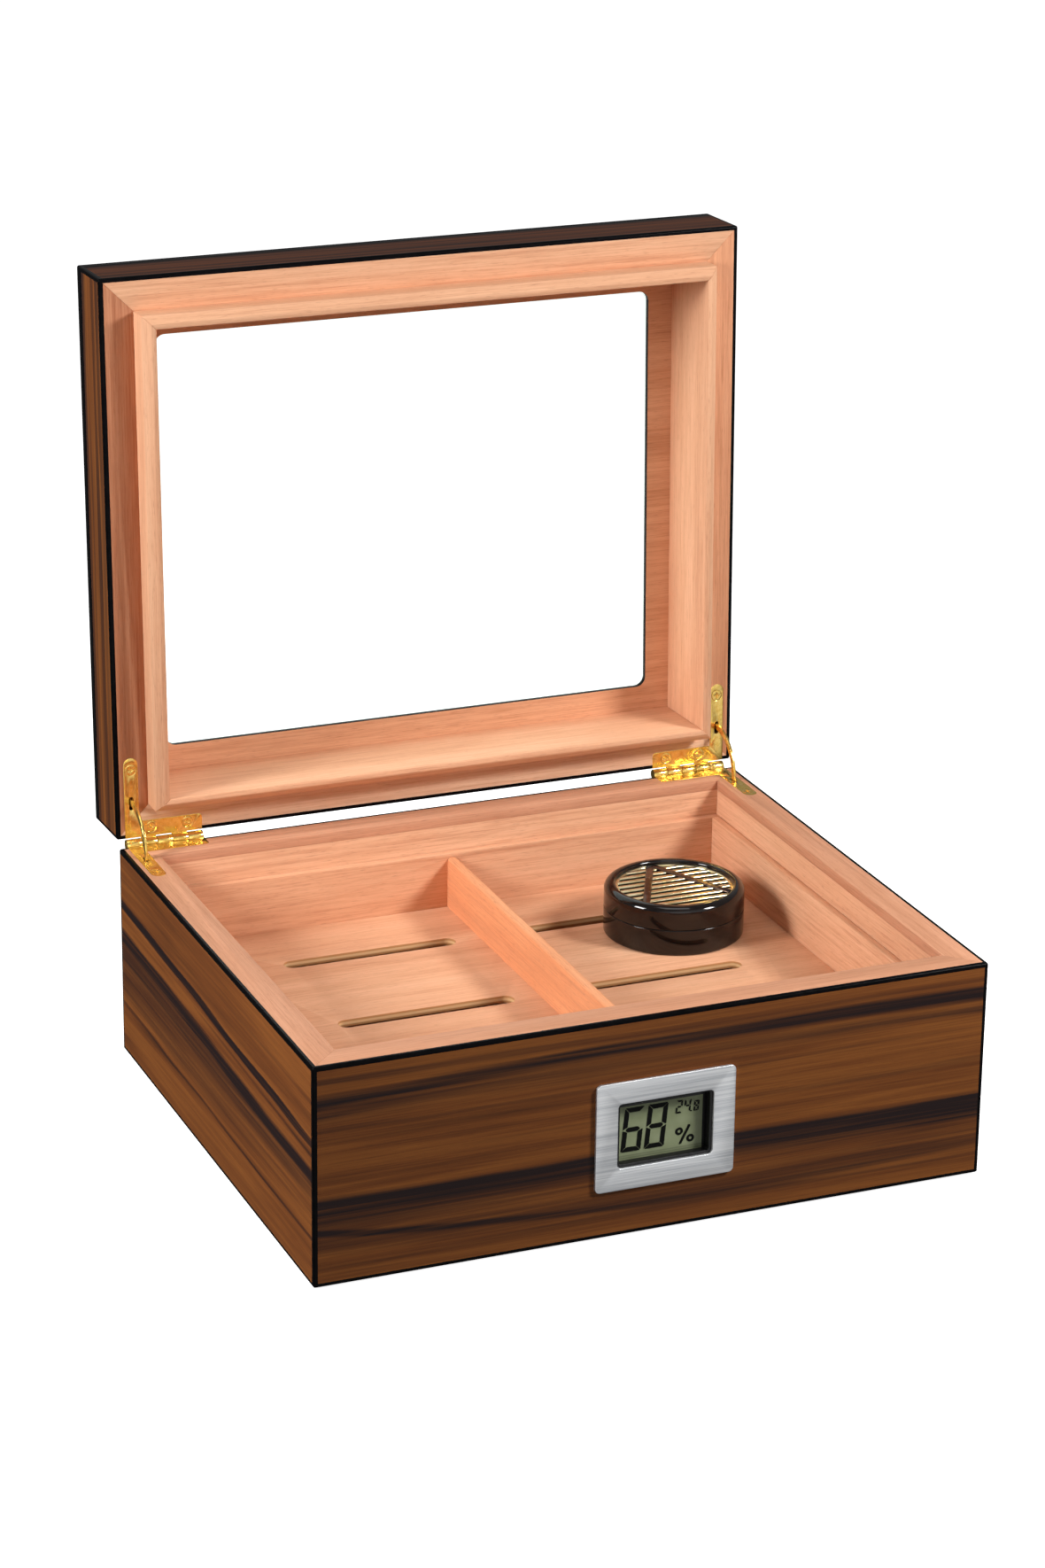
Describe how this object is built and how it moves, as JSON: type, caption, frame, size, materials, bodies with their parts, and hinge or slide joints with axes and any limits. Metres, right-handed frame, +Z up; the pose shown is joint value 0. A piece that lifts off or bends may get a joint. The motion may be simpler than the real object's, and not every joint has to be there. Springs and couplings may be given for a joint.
{
  "type": "humidor with digital hygrometer",
  "caption": "Cedar-lined wooden humidor with a hinged glass-window lid, lift-out slotted tray, round humidifier and a digital hygrometer set in its front wall.",
  "frame": {"origin": "centre of the felt underside of the base, on the surface it stands on", "axes": "+Z up, +X to the right seen from the front, +Y to the back where the hinges are; the hygrometer faces -Y"},
  "size_m": [0.26, 0.2583, 0.3057],
  "materials": {
    "walnut_veneer": "gloss",
    "cedar": "satin",
    "fibreboard": "matt",
    "black_lacquer": "gloss",
    "felt": "matt",
    "glass": "clear",
    "gilt_brass": "polished",
    "gloss_black": "gloss",
    "foam": "matt",
    "gilt_grille": "polished",
    "brushed_steel": "brushed",
    "black_abs": "satin",
    "lcd_glass": "satin",
    "circuit_board": "satin",
    "sensor": "matt",
    "cell_steel": "polished",
    "contact_steel": "satin"
  },
  "bodies": {
    "base": {"base_back_wall": "walnut_veneer", "base_bottom_panel": "fibreboard", "base_edging": "black_lacquer", "base_felt": "felt", "base_front_wall": "walnut_veneer", "base_left_wall": "walnut_veneer", "base_lining_back": "cedar", "base_lining_bottom": "cedar", "base_lining_front": "cedar", "base_lining_left": "cedar", "base_lining_right": "cedar", "base_right_wall": "walnut_veneer", "base_rim_back": "cedar", "base_rim_front": "cedar", "base_rim_left": "cedar", "base_rim_right": "cedar", "base_tray_rests": "cedar", "hinge_base_leaf_left": "gilt_brass", "hinge_base_leaf_right": "gilt_brass", "hinge_base_screws": "gilt_brass", "hinge_pins": "gilt_brass"},
    "lid": {"hinge_lid_leaf_left": "gilt_brass", "hinge_lid_leaf_right": "gilt_brass", "hinge_lid_screws": "gilt_brass", "lid_back_wall": "walnut_veneer", "lid_edging": "black_lacquer", "lid_front_wall": "walnut_veneer", "lid_glass": "glass", "lid_left_wall": "walnut_veneer", "lid_liner_back": "cedar", "lid_liner_front": "cedar", "lid_liner_left": "cedar", "lid_liner_right": "cedar", "lid_right_wall": "walnut_veneer", "lid_rim_back": "cedar", "lid_rim_front": "cedar", "lid_rim_left": "cedar", "lid_rim_right": "cedar", "lid_top_panel": "walnut_veneer"},
    "stay_left": {"stay_left": "gilt_brass"},
    "stay_right": {"stay_right": "gilt_brass"},
    "tray": {"tray_back": "cedar", "tray_divider": "cedar", "tray_floor": "cedar", "tray_front": "cedar", "tray_left": "cedar", "tray_right": "cedar"},
    "humidifier": {"humidifier_shell": "gloss_black", "humidifier_foam": "foam"},
    "humidifier_cap": {"humidifier_cap": "gloss_black", "humidifier_grille": "gilt_grille"},
    "hygrometer": {"hygro_back_cover": "black_abs", "hygro_bezel": "brushed_steel", "hygro_board": "circuit_board", "hygro_cell": "cell_steel", "hygro_contacts": "contact_steel", "hygro_housing": "black_abs", "hygro_lcd": "lcd_glass", "hygro_sensor": "sensor"},
    "hygro_door": {"hygro_door": "black_abs"}
  },
  "joints": [
    {"name": "lid_hinge", "type": "hinge", "parent": "base", "child": "lid", "pos_m": [0, 0.1119, 0.0845], "axis": [-1, 0, 0], "range_deg": [-92, 0]},
    {"name": "stay_left_turn", "type": "hinge", "parent": "base", "child": "stay_left", "pos_m": [-0.1238, 0.1119, 0.0845], "axis": [-1, 0, 0], "range_deg": [-46, 0]},
    {"name": "stay_right_turn", "type": "hinge", "parent": "base", "child": "stay_right", "pos_m": [0.1238, 0.1119, 0.0845], "axis": [-1, 0, 0], "range_deg": [-46, 0]},
    {"name": "tray_lift", "type": "slide", "parent": "base", "child": "tray", "axis": [0, 0, 1], "range_m": [0, 0.06]},
    {"name": "humidifier_lift", "type": "slide", "parent": "tray", "child": "humidifier", "axis": [0, 0, 1], "range_m": [0, 0.04]},
    {"name": "humidifier_cap_pull", "type": "slide", "parent": "humidifier", "child": "humidifier_cap", "axis": [0, 0, 1], "range_m": [0, 0.012]},
    {"name": "hygrometer_pull", "type": "slide", "parent": "base", "child": "hygrometer", "axis": [0, -1, 0], "range_m": [0, 0.02]},
    {"name": "hygro_door_pull", "type": "slide", "parent": "hygrometer", "child": "hygro_door", "axis": [0, 1, 0], "range_m": [0, 0.006]}
  ],
  "couplings": [
    {"joint": "stay_left_turn", "follows": "lid_hinge", "ratio": 0.5},
    {"joint": "stay_right_turn", "follows": "lid_hinge", "ratio": 0.5}
  ]
}
